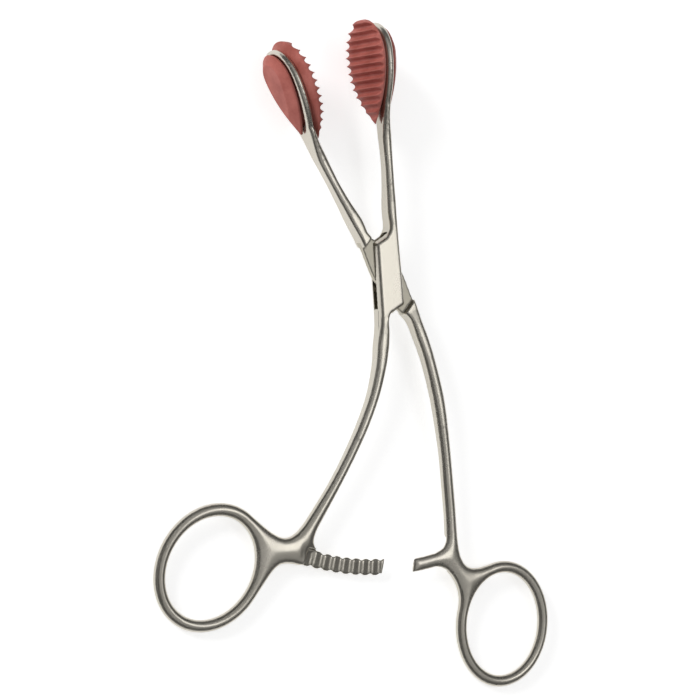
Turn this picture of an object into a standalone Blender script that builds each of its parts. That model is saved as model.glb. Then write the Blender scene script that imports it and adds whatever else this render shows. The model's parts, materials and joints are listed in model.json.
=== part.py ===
"""Tongue forceps: two ring-handled arms that cross in a box lock, with rubber jaw inserts.

The plan is drawn in the plane of the instrument, half open: the pivot is at (0, 0), the
jaws point to +Y, the finger rings to -Y, and +Z comes out of the front of the box lock.
The box arm holds the slotted box, the long toothed ratchet and the ring on the left. The
through arm passes through the box, and holds the short ratchet stub and the ring on the
right. Each jaw ends in an oval wire loop with a moulded rubber insert pressed through it.
At the end the whole instrument is laid down on the side that it rests on.
"""

import math

import bmesh
import bpy
from mathutils import Matrix, Vector

MM = 0.001

# Box lock
BOX_WIDTH = 7.2 * MM
BOX_LENGTH = 15.6 * MM
BOX_THICKNESS = 4.4 * MM
BOX_LEAN = math.radians(-12.5)
SHOULDER_SLOPE = math.radians(26.5)
TONGUE_WIDTH = 7.7 * MM
TONGUE_THICKNESS = 1.5 * MM
TONGUE_LEAN = math.radians(15.4)
STEP_LENGTH = 20.2 * MM
SLOT_LENGTH = 16.8 * MM
SLOT_REACH = 21.4 * MM
RUNNING_GAP = 0.3 * MM
PIN_DIAMETER = 2.4 * MM
PIN_GAP = 0.1 * MM
CLOSING_ANGLE = math.radians(20.0)

# Handles: x and y are shares of the ratchet's radius, widths are in millimetres
RATCHET_RADIUS = 71.95 * MM
BOX_SHANK = ((-0.0792, -0.1960, 3.15), (-0.0987, -0.2432, 2.8), (-0.1195, -0.2905, 2.5),
             (-0.1751, -0.3822, 2.15), (-0.2460, -0.4670, 2.1), (-0.3266, -0.5476, 2.0),
             (-0.4142, -0.6254, 2.1), (-0.5087, -0.7005, 2.6))
THROUGH_SHANK = ((0.0612, -0.1946, 2.8), (0.0723, -0.2877, 2.5), (0.0751, -0.3711, 2.5),
                 (0.0723, -0.4698, 2.6), (0.0618, -0.5615, 2.45), (0.0459, -0.6657, 2.2),
                 (0.0257, -0.7686, 2.3), (0.0049, -0.8728, 2.35), (-0.0042, -0.9117, 2.5))

# Jaw necks, as x, y and width, from the tip of the neck down to the lock
BOX_NECK = ((10.75, 39.5, 1.7), (10.3, 37.4, 1.9), (9.7, 34.0, 2.0), (8.8, 29.2, 2.1),
            (7.8, 24.4, 2.15), (6.6, 19.6, 2.25), (5.4, 15.0, 2.5))
THROUGH_NECK = ((-11.8, 39.8, 1.7), (-11.4, 37.7, 1.9), (-10.8, 34.9, 2.0), (-9.4, 29.4, 2.1),
                (-8.0, 24.0, 2.2), (-6.5, 18.7, 2.5), (-5.2, 14.6, 3.1))

# Thickness of the forged arms against the distance from the pivot
SHANK_THICKNESS = ((11.0, 4.4), (15.5, 3.7), (32.0, 3.0), (55.0, 2.7), (75.0, 2.6))
NECK_THICKNESS = ((11.0, 4.4), (17.5, 3.9), (22.0, 3.3), (27.0, 3.0), (32.0, 3.1),
                  (35.5, 3.9), (38.5, 4.9), (41.0, 6.0))
EDGE_BEVEL = 0.55 * MM

# Finger rings, measured along the middle of the ring bar
RING_LENGTH = 29.0 * MM
RING_BREADTH = 25.2 * MM
RING_BAR = 2.6 * MM
BOX_RING_CENTRE = (-0.9326 * RATCHET_RADIUS, -0.7227 * RATCHET_RADIUS)
BOX_RING_TILT = math.radians(29.0)
THROUGH_RING_CENTRE = (0.1028 * RATCHET_RADIUS, -1.3162 * RATCHET_RADIUS)
THROUGH_RING_TILT = math.radians(72.0)

# Ratchet: both bars follow circles about the pivot
RATCHET_HEIGHT = 4.1 * MM
BAR_END = math.radians(17.2)
BAR_ROOT = math.radians(32.0)
STUB_END = math.radians(11.3)
STUB_ROOT = math.radians(3.6)
TOOTH_COUNT = 8
TOOTH_PITCH = math.radians(2.23)
TOOTH_DEPTH = 0.5 * MM
STUB_TOOTH_COUNT = 3

# Jaw loops and rubber inserts: distances along the jaw start at the top of the insert
LOOP_TOP = 2.6 * MM
LOOP_WIDEST = 9.0 * MM
LOOP_HALF_WIDTH = 5.4 * MM
LOOP_BOTTOM = 25.5 * MM
LOOP_WIRE = 1.8 * MM
BOX_JAW_TOP = (14.8 * MM, 61.15 * MM)
BOX_JAW_LEAN = math.radians(10.6)
THROUGH_JAW_TOP = (-15.3 * MM, 61.55 * MM)
THROUGH_JAW_LEAN = math.radians(9.2)
PAD_LENGTH = 25.2 * MM
PAD_HALF_WIDTH = 7.9 * MM
PAD_RIM = 3.2 * MM
PAD_EDGE = 0.8 * MM
RIDGE_COUNT = 12
RIDGE_PITCH = 1.97 * MM
RIDGE_HEIGHT = 0.85 * MM
RIDGE_FIRST = 1.2 * MM
RIDGE_INSET = 0.3 * MM
BUTTON_HEIGHT = 3.2 * MM
SEAT_GAP = 0.3 * MM

STEEL_DENSITY = 7.9
RUBBER_DENSITY = 1.2


# Plan geometry: every run is a list of points, and an outline is made of runs

def in_metres(stations, unit=MM):
    """Stations with their places in the given unit and their widths in millimetres."""
    return [(x * unit, y * unit, width * MM) for x, y, width in stations]


def turned(point, angle):
    return Vector(point[:2]) @ Matrix.Rotation(-angle, 2)


def smooth_run(points, spacing=2.2 * MM):
    """A smooth line through the points, by cubic pieces with chord-length tangents."""
    knots = [Vector(p) for p in points]
    run = []
    for i in range(len(knots) - 1):
        a, b = knots[i], knots[i + 1]
        chord = (b - a).length
        before = knots[i - 1] if i else a - (b - a)
        after = knots[i + 2] if i + 2 < len(knots) else b + (b - a)
        tangent_a = (b - before) * (chord / ((b - a).length + (a - before).length))
        tangent_b = (after - a) * (chord / ((after - b).length + (b - a).length))
        steps = max(1, round(chord / spacing))
        for step in range(steps):
            t = step / steps
            run.append(a * (2 * t**3 - 3 * t**2 + 1) + tangent_a * (t**3 - 2 * t**2 + t)
                       + b * (3 * t**2 - 2 * t**3) + tangent_b * (t**3 - t**2))
    run.append(knots[-1])
    return run


def rails(stations):
    """The left and right edges of a strip, looking along it."""
    middle = smooth_run([Vector((x, y, w)) for x, y, w in stations])
    left, right = [], []
    for i, station in enumerate(middle):
        ahead = middle[min(i + 1, len(middle) - 1)] - middle[max(i - 1, 0)]
        across = Vector((-ahead.y, ahead.x)).normalized() * station.z / 2
        left.append(station.xy + across)
        right.append(station.xy - across)
    return left, right


def arc_run(radius, start, stop, steps):
    """Part of a circle about the pivot; angles are measured from -Y towards -X."""
    angles = [start + (stop - start) * i / steps for i in range(steps + 1)]
    return [Vector((-math.sin(a), -math.cos(a))) * radius for a in angles]


def ring_run(centre, tilt, grow, start, stop, steps):
    """Part of the ring's oval, grown or shrunk from the middle of its bar."""
    run = []
    for i in range(steps + 1):
        a = math.radians(start + (stop - start) * i / steps)
        point = Vector((math.cos(a) * (RING_LENGTH / 2 + grow),
                        math.sin(a) * (RING_BREADTH / 2 + grow)))
        run.append(turned(point, tilt) + Vector(centre))
    return run


def blended(first, second, fullness=0.5, steps=5):
    """Both runs, with a fillet from the end of the first to the start of the second."""
    a, b = first[-1], second[0]
    reach = (b - a).length * fullness
    handle_a = a + (first[-1] - first[-2]).normalized() * reach
    handle_b = b - (second[1] - second[0]).normalized() * reach
    fillet = []
    for i in range(1, steps):
        t = i / steps
        fillet.append(a * (1 - t)**3 + handle_a * 3 * t * (1 - t)**2
                      + handle_b * 3 * t**2 * (1 - t) + b * t**3)
    return first + fillet + second


def leaf(top, widest, half_width, bottom, steps=9):
    """Half outline of a jaw loop or pad: an elliptic top, then a parabola to a point."""
    half = []
    for i in range(steps):
        a = math.pi / 2 * i / steps
        half.append((widest - (widest - top) * math.cos(a), half_width * math.sin(a)))
    for i in range(steps + 1):
        t = math.sin(math.pi / 2 * i / steps)
        half.append((widest + (bottom - widest) * t, half_width * (1 - t * t)))
    return half


def thickness_at(point):
    table = NECK_THICKNESS if point.y > 0 else SHANK_THICKNESS
    distance = Vector(point[:2]).length / MM
    if distance <= table[0][0]:
        return BOX_THICKNESS
    lock = BOX_THICKNESS / MM
    previous = (table[0][0], lock)
    for station in table[1:]:
        if distance <= station[0]:
            share = (distance - previous[0]) / (station[0] - previous[0])
            return (previous[1] + (station[1] - previous[1]) * share) * MM
        previous = station
    return previous[1] * MM


# Blender objects

def clear_scene():
    for item in list(bpy.data.objects):
        bpy.data.objects.remove(item, do_unlink=True)


def new_collection(name):
    collection = bpy.data.collections.new(name)
    bpy.context.scene.collection.children.link(collection)
    return collection


def material(name, colour, roughness, metallic):
    made = bpy.data.materials.new(name)
    made.use_nodes = True
    shader = made.node_tree.nodes["Principled BSDF"]
    shader.inputs["Base Color"].default_value = (*colour, 1.0)
    shader.inputs["Roughness"].default_value = roughness
    shader.inputs["Metallic"].default_value = metallic
    return made


def add_object(name, mesh, collection, as_cutter=False):
    made = bpy.data.objects.new(name, mesh)
    collection.objects.link(made)
    if as_cutter:
        made.hide_render = True
        made.display_type = "WIRE"
    return made


def mesh_from_bmesh(name, bm):
    bmesh.ops.recalc_face_normals(bm, faces=bm.faces)
    mesh = bpy.data.meshes.new(name)
    bm.to_mesh(mesh)
    bm.free()
    return mesh


def mesh_from_curve(name, curve):
    """The curve's solid as a welded mesh; the curve itself goes."""
    guide = bpy.data.objects.new(name, curve)
    bpy.context.scene.collection.objects.link(guide)
    graph = bpy.context.evaluated_depsgraph_get()
    mesh = bpy.data.meshes.new_from_object(guide.evaluated_get(graph))
    bpy.data.objects.remove(guide, do_unlink=True)
    bm = bmesh.new()
    bm.from_mesh(mesh)
    bmesh.ops.remove_doubles(bm, verts=bm.verts, dist=0.001 * MM)
    bpy.data.meshes.remove(mesh)
    return mesh_from_bmesh(name, bm)


def plate_mesh(name, loops, thickness, edge):
    """A flat outline with its holes, given a thickness and bevelled edges."""
    curve = bpy.data.curves.new(name, "CURVE")
    curve.dimensions = "2D"
    curve.fill_mode = "BOTH"
    curve.extrude = thickness / 2 - edge
    curve.bevel_depth = edge
    curve.bevel_resolution = 0
    curve.offset = -edge
    for loop in loops:
        spline = curve.splines.new("POLY")
        spline.points.add(len(loop) - 1)
        for point, place in zip(spline.points, loop):
            point.co = (place[0], place[1], 0, 1)
        spline.use_cyclic_u = True
    return mesh_from_curve(name, curve)


def prism_mesh(name, outline, low, high):
    """A plan outline extruded straight from one height to another."""
    bm = bmesh.new()
    face = bm.faces.new([bm.verts.new((p[0], p[1], low)) for p in outline])
    grown = bmesh.ops.extrude_face_region(bm, geom=[face])
    raised = [v for v in grown["geom"] if isinstance(v, bmesh.types.BMVert)]
    bmesh.ops.translate(bm, verts=raised, vec=(0, 0, high - low))
    return mesh_from_bmesh(name, bm)


def cylinder_mesh(name, radius, length, sides=24):
    bm = bmesh.new()
    bmesh.ops.create_cone(bm, cap_ends=True, segments=sides, radius1=radius,
                          radius2=radius, depth=length)
    return mesh_from_bmesh(name, bm)


def boolean(target, tool, operation):
    step = target.modifiers.new(tool.name, "BOOLEAN")
    step.operation = operation
    step.solver = "EXACT"
    step.object = tool


def finish(target, surface, crease=35):
    target.data.materials.append(surface)
    target.data.shade_smooth()
    target.data.set_sharp_from_angle(angle=math.radians(crease))


# Jaw loops and rubber inserts

def jaw_frame(top, lean, side):
    """Maps (distance down the jaw, inward, across) to the plan; side is 1 on the right."""
    down = Vector((-side * math.sin(lean), -math.cos(lean), 0))
    inward = Vector((-side * math.cos(lean), side * math.sin(lean), 0))
    across = Vector((0, 0, 1))
    frame = Matrix((down, inward, across)).transposed().to_4x4()
    return Matrix.Translation((*top, 0)) @ frame


def loop_mesh(name, frame):
    """The oval wire of a jaw, with both its ends inside the neck."""
    half = leaf(LOOP_TOP, LOOP_WIDEST, LOOP_HALF_WIDTH, LOOP_BOTTOM)
    half = [p for p in half if p[1] > LOOP_WIRE / 4 or p[0] < LOOP_WIDEST]
    path = [(s, -w) for s, w in reversed(half[1:])] + half
    curve = bpy.data.curves.new(name, "CURVE")
    curve.dimensions = "3D"
    curve.bevel_depth = LOOP_WIRE / 2
    curve.bevel_resolution = 2
    curve.use_fill_caps = True
    spline = curve.splines.new("POLY")
    spline.points.add(len(path) - 1)
    for point, (s, w) in zip(spline.points, path):
        point.co = (*(frame @ Vector((s, 0, w))), 1)
    return mesh_from_curve(name, curve)


def insert_sections():
    """The insert's outlines, from the pad's rim through the loop to the button's top."""
    seat = LOOP_WIRE / 2 + SEAT_GAP
    pad = (0.0, LOOP_WIDEST, PAD_HALF_WIDTH, PAD_LENGTH)
    pad_back = (1.6 * MM, LOOP_WIDEST, PAD_HALF_WIDTH - 1.6 * MM, PAD_LENGTH - 2.2 * MM)
    neck = (LOOP_TOP + seat, LOOP_WIDEST, LOOP_HALF_WIDTH - seat, LOOP_BOTTOM - 4.2 * MM)
    base = (LOOP_TOP + 0.6 * MM, LOOP_WIDEST, LOOP_HALF_WIDTH - 0.5 * MM, LOOP_BOTTOM - 1.6 * MM)
    shoulder = (LOOP_TOP + 1.9 * MM, LOOP_WIDEST, LOOP_HALF_WIDTH - 1.6 * MM,
                LOOP_BOTTOM - 2.9 * MM)
    top = (LOOP_TOP + 2.5 * MM, LOOP_WIDEST, LOOP_HALF_WIDTH - 2.2 * MM, LOOP_BOTTOM - 3.6 * MM)
    return [(PAD_RIM, pad), (PAD_RIM - PAD_EDGE, pad), (seat, pad_back), (seat, neck),
            (-seat, neck), (-seat, base), (-seat - 0.5 * MM, base),
            (-BUTTON_HEIGHT + 0.2 * MM, shoulder), (-BUTTON_HEIGHT, top)]


def insert_body_mesh(name, frame):
    bm = bmesh.new()
    rings = []
    for inward, sizes in insert_sections():
        half = leaf(*sizes, steps=8)
        outline = half + [(s, -w) for s, w in reversed(half[1:-1])]
        rings.append([bm.verts.new(frame @ Vector((s, inward, w))) for s, w in outline])
    count = len(rings[0])
    for lower, upper in zip(rings, rings[1:]):
        for i in range(count):
            j = (i + 1) % count
            bm.faces.new((lower[i], lower[j], upper[j], upper[i]))
    bm.faces.new(rings[0])
    bm.faces.new(rings[-1])
    return mesh_from_bmesh(name, bm)


def pad_half_width_at(s):
    if s < LOOP_WIDEST:
        share = (LOOP_WIDEST - s) / LOOP_WIDEST
        return PAD_HALF_WIDTH * math.sqrt(max(0.0, 1 - share * share))
    share = (s - LOOP_WIDEST) / (PAD_LENGTH - LOOP_WIDEST)
    return PAD_HALF_WIDTH * (1 - share * share)


def ridges_mesh(name, frame):
    """Cross ridges with hollow flanks, each tapering down where it meets the rim."""
    bm = bmesh.new()
    root = 0.25 * MM
    profile = ((-0.47, 0.0), (-0.2, 0.36), (0.0, 1.0), (0.2, 0.36), (0.47, 0.0))
    for number in range(RIDGE_COUNT):
        middle = RIDGE_FIRST + number * RIDGE_PITCH
        narrow = min(pad_half_width_at(middle - 0.3 * RIDGE_PITCH),
                     pad_half_width_at(middle + 0.3 * RIDGE_PITCH))
        half = narrow - RIDGE_INSET
        if half < 1.0 * MM:
            continue
        taper = min(1.1 * MM, 0.6 * half)
        sections = []
        for across, share in ((-half, 0.15), (taper - half, 1.0), (half - taper, 1.0), (half, 0.15)):
            ring = [(-0.47, None)] + list(profile) + [(0.47, None)]
            verts = []
            for along, height in ring:
                level = PAD_RIM - root if height is None else PAD_RIM + height * share * RIDGE_HEIGHT
                place = Vector((middle + along * RIDGE_PITCH, level, across))
                verts.append(bm.verts.new(frame @ place))
            sections.append(verts)
        for first, second in zip(sections, sections[1:]):
            for i in range(len(first)):
                j = (i + 1) % len(first)
                bm.faces.new((first[i], first[j], second[j], second[i]))
        bm.faces.new(sections[0])
        bm.faces.new(sections[-1])
    return mesh_from_bmesh(name, bm)


# Arms

def box_point(x, y):
    return turned((x, y), BOX_LEAN)


def tongue_point(x, y):
    return turned((x, y), TONGUE_LEAN)


def box_arm_outline():
    neck_left, neck_right = rails(in_metres(BOX_NECK))
    shank_left, shank_right = rails(in_metres(BOX_SHANK, RATCHET_RADIUS))
    neck_left, neck_right = neck_right, neck_left
    shank_left, shank_right = shank_right, shank_left
    half = BOX_WIDTH / 2
    corner = BOX_LENGTH / 2
    inner = 0.8 * half
    shoulder = [box_point(inner - half, corner + inner * math.tan(SHOULDER_SLOPE)),
                box_point(-half, corner)]
    left_edge = [box_point(-half, -corner), box_point(-half, -1.25 * corner)]
    right_edge = [box_point(half, -0.4 * corner), box_point(0.93 * half, 0.7 * corner)]
    lower_shoulder = [box_point(half, -corner),
                      box_point(half - inner, -corner - inner * math.tan(SHOULDER_SLOPE))]
    bar = RATCHET_HEIGHT / 2
    outer_arc = arc_run(RATCHET_RADIUS + bar, BAR_ROOT + 0.03, BAR_END + 0.012, 8)
    inner_arc = arc_run(RATCHET_RADIUS - bar, BAR_END, BAR_ROOT - 0.005, 8)
    ring = ring_run(BOX_RING_CENTRE, BOX_RING_TILT, RING_BAR / 2, 0, 280, 42)
    outline = blended(neck_left, shoulder, 0.45)
    outline = blended(outline + left_edge, shank_left, 0.3, 2)
    outline = blended(outline, ring, 0.62, 8)
    outline = blended(outline, outer_arc, 0.64, 8)
    outline = blended(outline + inner_arc, shank_right[::-1], 0.62, 6)
    outline = blended(outline, lower_shoulder[::-1], 0.45)
    outline = outline + right_edge
    return blended(outline, neck_right[::-1], 0.35, 3)


def through_arm_outline():
    neck_right, neck_left = rails(in_metres(THROUGH_NECK))
    shank_right, shank_left = rails(in_metres(THROUGH_SHANK, RATCHET_RADIUS))
    half = TONGUE_WIDTH / 2
    end = STEP_LENGTH / 2
    left_edge = [tongue_point(-0.73 * half, 0.92 * end), tongue_point(-half, 0.1 * end),
                 tongue_point(-0.86 * half, -0.5 * end), tongue_point(-0.45 * half, -end)]
    right_edge = [tongue_point(0.73 * half, -0.92 * end), tongue_point(half, -0.1 * end),
                  tongue_point(0.86 * half, 0.5 * end), tongue_point(0.1 * half, 1.03 * end)]
    left_edge = smooth_run(left_edge)
    right_edge = smooth_run(right_edge)
    bar = RATCHET_HEIGHT / 2
    lip = 0.4 * MM
    inner_arc = arc_run(RATCHET_RADIUS - bar + 2 * lip, STUB_ROOT + 0.03, STUB_END - 0.008, 4)
    outer_arc = arc_run(RATCHET_RADIUS + bar, STUB_END, STUB_ROOT + 0.045, 4)
    ring = ring_run(THROUGH_RING_CENTRE, THROUGH_RING_TILT, RING_BAR / 2, 72, 378, 46)
    outline = blended(neck_left, left_edge, 0.35, 3)
    outline = blended(outline, shank_left, 0.35, 3)
    outline = blended(outline, inner_arc, 0.5, 6)
    outline = blended(outline + outer_arc, ring, 0.36, 7)
    outline = blended(outline, shank_right[::-1], 0.6, 8)
    outline = blended(outline, right_edge, 0.35, 3)
    return blended(outline, neck_right[::-1], 0.35, 3)


def arm_mesh(name, outline, ring_centre, ring_tilt):
    """The forged blank: plan outline with the ring's hole, thinned away from the lock."""
    hole = ring_run(ring_centre, ring_tilt, -RING_BAR / 2, 0, 360, 48)[:-1]
    mesh = plate_mesh(name, (outline, hole), BOX_THICKNESS, EDGE_BEVEL)
    for vertex in mesh.vertices:
        vertex.co.z *= thickness_at(vertex.co) / BOX_THICKNESS
    return mesh


def slot_outline():
    side = BOX_WIDTH
    near = SLOT_LENGTH / 2
    far = SLOT_REACH / 2
    corners = ((-side, -near), (-0.7 * BOX_WIDTH / 2, -near), (0, -far), (side, -far),
               (side, near), (0.7 * BOX_WIDTH / 2, near), (0, far), (-side, far))
    return [box_point(*corner) for corner in corners]


def step_outline():
    """The region of the through arm that is thinned down to the tongue."""
    side = 2 * TONGUE_WIDTH
    step_slope = SHOULDER_SLOPE - (TONGUE_LEAN - BOX_LEAN - CLOSING_ANGLE)
    rise = side * math.tan(step_slope)
    end = STEP_LENGTH / 2
    corners = ((-side, -end - rise), (side, -end + rise), (side, end + rise), (-side, end - rise))
    return [tongue_point(*corner) for corner in corners]


def ratchet_sector(start, stop, low, high, name, inward=RATCHET_HEIGHT):
    outer = arc_run(RATCHET_RADIUS + RATCHET_HEIGHT, start, stop, 8)
    inner = arc_run(RATCHET_RADIUS - inward, stop, start, 8)
    return prism_mesh(name, outer + inner, low, high)


def teeth_mesh(name, first, count, direction, face, inward=RATCHET_HEIGHT):
    """Saw-tooth gashes on one face of a ratchet bar.

    The steep flank of each gash is at its start, and the flat one rises in the given
    direction; face is 1 for gashes that open towards the front, -1 towards the back.
    The halves slide over each other while closing and would catch when pulled open.
    """
    bm = bmesh.new()
    crest = -face * RUNNING_GAP / 2
    valley = crest - face * TOOTH_DEPTH
    clear = crest + face * TOOTH_DEPTH
    for number in range(count):
        start = first + direction * number * TOOTH_PITCH
        rise = start + direction * 0.94 * TOOTH_PITCH
        rings = []
        for radius in (RATCHET_RADIUS - inward, RATCHET_RADIUS + RATCHET_HEIGHT):
            places = ((start, clear), (start, valley), (rise, crest), (rise, clear))
            ring = []
            for angle, height in places:
                ring.append(bm.verts.new((-math.sin(angle) * radius,
                                          -math.cos(angle) * radius, height)))
            rings.append(ring)
        for i in range(4):
            j = (i + 1) % 4
            bm.faces.new((rings[0][i], rings[0][j], rings[1][j], rings[1][i]))
        bm.faces.new(rings[0])
        bm.faces.new(rings[1])
    return mesh_from_bmesh(name, bm)


def build_box_arm(parts, cutters, steel):
    mesh = arm_mesh("box_arm", box_arm_outline(), BOX_RING_CENTRE, BOX_RING_TILT)
    arm = add_object("box_arm", mesh, parts)
    frame = jaw_frame(BOX_JAW_TOP, BOX_JAW_LEAN, 1)
    loop = add_object("box_jaw_loop", loop_mesh("box_jaw_loop", frame), cutters, True)
    slot_half = TONGUE_THICKNESS / 2 + RUNNING_GAP
    slot = add_object("lock_slot", prism_mesh("lock_slot", slot_outline(), -slot_half, slot_half),
                      cutters, True)
    bore = add_object("box_bore", cylinder_mesh("box_bore", PIN_DIAMETER / 2 + PIN_GAP,
                                                2 * BOX_THICKNESS), cutters, True)
    flank = 0.55 * RATCHET_HEIGHT
    first = BAR_END + 0.43 * TOOTH_PITCH
    last = first + TOOTH_COUNT * TOOTH_PITCH
    front = ratchet_sector(BAR_END - 0.05, max(last, BAR_ROOT), -RUNNING_GAP / 2, BOX_THICKNESS,
                           "bar_relief", flank)
    relief = add_object("bar_relief", front, cutters, True)
    gashes = teeth_mesh("bar_teeth", first, TOOTH_COUNT, 1, 1, flank)
    teeth = add_object("bar_teeth", gashes, cutters, True)
    boolean(arm, loop, "UNION")
    for tool in (slot, bore, relief, teeth):
        boolean(arm, tool, "DIFFERENCE")
    finish(arm, steel)
    return arm


def build_through_arm(parts, cutters, steel):
    mesh = arm_mesh("through_arm", through_arm_outline(), THROUGH_RING_CENTRE, THROUGH_RING_TILT)
    arm = add_object("through_arm", mesh, parts)
    frame = jaw_frame(THROUGH_JAW_TOP, THROUGH_JAW_LEAN, -1)
    loop = add_object("through_jaw_loop", loop_mesh("through_jaw_loop", frame), cutters, True)
    level = TONGUE_THICKNESS / 2
    steps = [prism_mesh("step_front", step_outline(), level, BOX_THICKNESS),
             prism_mesh("step_back", step_outline(), -BOX_THICKNESS, -level)]
    tools = [add_object(step.name, step, cutters, True) for step in steps]
    bore = cylinder_mesh("tongue_bore", PIN_DIAMETER / 2 + RUNNING_GAP, 2 * BOX_THICKNESS)
    tools.append(add_object("tongue_bore", bore, cutters, True))
    channel = ratchet_sector(STUB_ROOT - 0.12, STUB_END + 0.05, -BOX_THICKNESS, RUNNING_GAP / 2,
                             "stub_relief")
    tools.append(add_object("stub_relief", channel, cutters, True))
    gashes = teeth_mesh("stub_teeth", STUB_END - 0.15 * TOOTH_PITCH, STUB_TOOTH_COUNT, -1, -1)
    tools.append(add_object("stub_teeth", gashes, cutters, True))
    boolean(arm, loop, "UNION")
    for tool in tools:
        boolean(arm, tool, "DIFFERENCE")
    finish(arm, steel)
    return arm


def build_pin(parts, steel):
    pin = add_object("pivot_pin", cylinder_mesh("pivot_pin", PIN_DIAMETER / 2, BOX_THICKNESS), parts)
    finish(pin, steel)
    return pin


def build_insert(name, frame, parts, cutters, rubber):
    insert = add_object(name, insert_body_mesh(name, frame), parts)
    ridges = add_object(name + "_ridges", ridges_mesh(name + "_ridges", frame), cutters, True)
    boolean(insert, ridges, "UNION")
    finish(insert, rubber)
    return insert


# Resting pose

def world_points(item, graph):
    evaluated = item.evaluated_get(graph)
    mesh = evaluated.to_mesh()
    mesh.calc_loop_triangles()
    points = [item.matrix_world @ v.co for v in mesh.vertices]
    triangles = [tuple(t.vertices) for t in mesh.loop_triangles]
    evaluated.to_mesh_clear()
    return points, triangles


def resting_matrix(weighted):
    """Turns the instrument onto the face of its hull that lies under its centre of mass."""
    graph = bpy.context.evaluated_depsgraph_get()
    moment = Vector((0, 0, 0))
    mass = 0.0
    hull = bmesh.new()
    for item, density in weighted:
        points, triangles = world_points(item, graph)
        for a, b, c in triangles:
            volume = points[a].dot(points[b].cross(points[c])) * density
            mass += volume
            moment += (points[a] + points[b] + points[c]) / 4 * volume
        for point in points:
            hull.verts.new(point)
    centre = moment / mass
    made = bmesh.ops.convex_hull(hull, input=hull.verts)
    support = None
    for face in made["geom"]:
        if isinstance(face, bmesh.types.BMFace):
            face.normal_update()
            if face.normal.z < -0.9:
                drop = (face.verts[0].co - centre).dot(face.normal)
                foot = centre + face.normal * drop
                if bmesh.geometry.intersect_face_point(face, foot):
                    support = face.normal.copy()
    corners = [v.co.copy() for v in hull.verts]
    hull.free()
    turn = support.rotation_difference(Vector((0, 0, -1))).to_matrix().to_4x4()
    placed = [turn @ corner for corner in corners]
    low = [min(p[axis] for p in placed) for axis in range(3)]
    high = [max(p[axis] for p in placed) for axis in range(3)]
    shift = Vector((-(low[0] + high[0]) / 2, -(low[1] + high[1]) / 2, -low[2]))
    return Matrix.Translation(shift) @ turn


def main():
    clear_scene()
    parts = new_collection("tongue_forceps")
    cutters = new_collection("cutters")
    steel = material("satin_steel", (0.56, 0.55, 0.52), 0.34, 1.0)
    pin_steel = material("pin_steel", (0.56, 0.55, 0.52), 0.34, 1.0)
    through_steel = material("satin_steel_through", (0.56, 0.55, 0.52), 0.34, 1.0)
    right_rubber = material("brick_rubber_right", (0.36, 0.10, 0.08), 0.55, 0.0)
    left_rubber = material("brick_rubber_left", (0.36, 0.10, 0.08), 0.55, 0.0)

    box_arm = build_box_arm(parts, cutters, steel)
    pin = build_pin(parts, pin_steel)
    through_arm = build_through_arm(parts, cutters, through_steel)
    right = build_insert("right_insert", jaw_frame(BOX_JAW_TOP, BOX_JAW_LEAN, 1),
                         parts, cutters, right_rubber)
    left = build_insert("left_insert", jaw_frame(THROUGH_JAW_TOP, THROUGH_JAW_LEAN, -1),
                        parts, cutters, left_rubber)

    instrument = bpy.data.objects.new("instrument", None)
    lock_axis = bpy.data.objects.new("lock_axis", None)
    for empty in (instrument, lock_axis):
        parts.objects.link(empty)
    lock_axis.parent = instrument
    moving = (through_arm, left)
    for item in (box_arm, pin, right, *cutters.objects):
        item.parent = instrument
    for item in moving:
        item.parent = lock_axis
    weighted = [(item, STEEL_DENSITY) for item in (box_arm, pin, through_arm)]
    weighted += [(item, RUBBER_DENSITY) for item in (left, right)]
    instrument.matrix_world = resting_matrix(weighted)


main()
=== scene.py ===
# %% [markdown]
# # Tongue forceps
# A steel hand instrument whose two arms cross in a box lock. Each arm ends in a finger ring
# below, and in an oval wire loop with a rubber insert above. This lesson dresses the packed
# model: it refines the forged steel, moulds the rubber, and then builds the materials, the
# studio and the camera.

import json
import math

import bmesh
import bpy
from mathutils import Matrix, Vector, kdtree


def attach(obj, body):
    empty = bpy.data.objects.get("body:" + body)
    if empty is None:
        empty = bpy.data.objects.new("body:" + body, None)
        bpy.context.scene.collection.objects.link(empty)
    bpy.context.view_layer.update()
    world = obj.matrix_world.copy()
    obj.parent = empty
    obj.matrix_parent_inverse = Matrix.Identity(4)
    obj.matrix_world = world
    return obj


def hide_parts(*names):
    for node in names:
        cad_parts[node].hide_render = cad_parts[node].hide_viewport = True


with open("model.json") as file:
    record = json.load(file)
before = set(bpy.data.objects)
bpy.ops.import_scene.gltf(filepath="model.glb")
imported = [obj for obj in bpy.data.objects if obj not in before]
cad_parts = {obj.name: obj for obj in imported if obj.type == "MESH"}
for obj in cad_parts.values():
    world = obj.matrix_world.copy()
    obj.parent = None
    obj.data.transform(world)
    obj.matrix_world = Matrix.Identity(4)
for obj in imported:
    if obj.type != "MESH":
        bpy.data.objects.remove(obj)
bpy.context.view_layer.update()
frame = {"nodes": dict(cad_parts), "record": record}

# %% [markdown]
# ## The plan
# An instrument maker draws forceps flat, from the pivot: x across, y towards the jaws and z
# out of the front of the lock, in millimetres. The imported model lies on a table, so it is
# tipped by a few degrees. Its pieces could be placed straight in table metres, but then no
# number would match the drawing. So the hinge gives the pivot and its axis, and one matrix
# leads from the maker's plan to the table.

# %% Plan to table
hinge = frame["record"]["behaviour"]["joints"][0]
FRONT = Vector(hinge["axis"]).normalized()
TIP = Vector((0, 0, 1)).rotation_difference(FRONT).to_matrix().to_4x4()
PLAN = Matrix.Translation(hinge["pos_m"]) @ TIP @ Matrix.Scale(0.001, 4)
print("The lock's front is tipped by", round(math.degrees(FRONT.angle((0, 0, 1))), 2), "degrees")


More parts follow.
